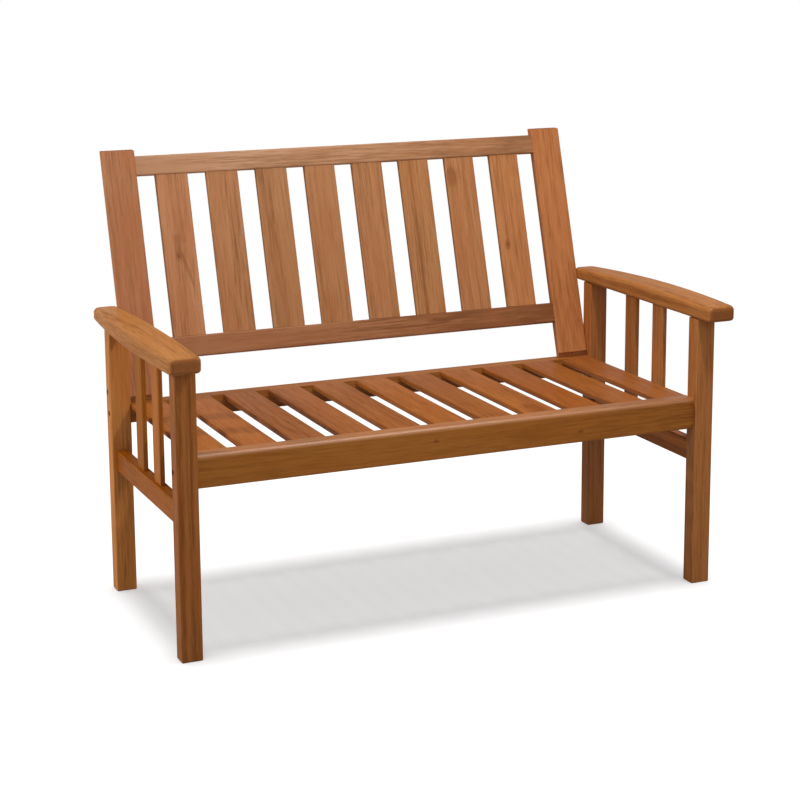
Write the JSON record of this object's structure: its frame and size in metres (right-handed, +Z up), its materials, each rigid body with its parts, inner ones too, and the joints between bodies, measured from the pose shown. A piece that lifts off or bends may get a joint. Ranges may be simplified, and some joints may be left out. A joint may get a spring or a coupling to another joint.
{
  "type": "slatted settle",
  "caption": "Slatted wooden settle with square legs, bowed flat armrests, upright side slats, a reclined slatted back and a flat slatted seat, bolted at the legs.",
  "frame": {"origin": "on the floor, in the middle of the overall width and depth", "axes": "+X along the seat, to the right as seen from the front; +Y from the front to the back; +Z up"},
  "size_m": [1.267, 0.708, 0.9421],
  "materials": {
    "side_frame_wood": "oiled satin",
    "armrest_wood": "oiled satin",
    "back_wood": "oiled satin",
    "seat_wood": "oiled satin",
    "fastener_steel": "dark plated"
  },
  "bodies": {
    "root": {"arm_bolts": "fastener_steel", "armrest_left": "armrest_wood", "armrest_right": "armrest_wood", "back_bottom_rail": "back_wood", "back_slat_1": "back_wood", "back_slat_2": "back_wood", "back_slat_3": "back_wood", "back_slat_4": "back_wood", "back_slat_5": "back_wood", "back_slat_6": "back_wood", "back_slat_7": "back_wood", "back_slat_8": "back_wood", "back_stile_left": "back_wood", "back_stile_right": "back_wood", "back_top_rail": "back_wood", "barrel_nuts": "fastener_steel", "bolt_washers": "fastener_steel", "front_leg_left": "side_frame_wood", "front_leg_right": "side_frame_wood", "leg_bolts": "fastener_steel", "rear_leg_left": "side_frame_wood", "rear_leg_right": "side_frame_wood", "seat_front_rail": "seat_wood", "seat_rear_rail": "seat_wood", "seat_slat_01": "seat_wood", "seat_slat_02": "seat_wood", "seat_slat_03": "seat_wood", "seat_slat_04": "seat_wood", "seat_slat_05": "seat_wood", "seat_slat_06": "seat_wood", "seat_slat_07": "seat_wood", "seat_slat_08": "seat_wood", "seat_slat_09": "seat_wood", "seat_slat_10": "seat_wood", "seat_slat_11": "seat_wood", "side_rail_left": "side_frame_wood", "side_rail_right": "side_frame_wood", "side_slat_front_left": "side_frame_wood", "side_slat_front_right": "side_frame_wood", "side_slat_rear_left": "side_frame_wood", "side_slat_rear_right": "side_frame_wood"}
  },
  "joints": []
}
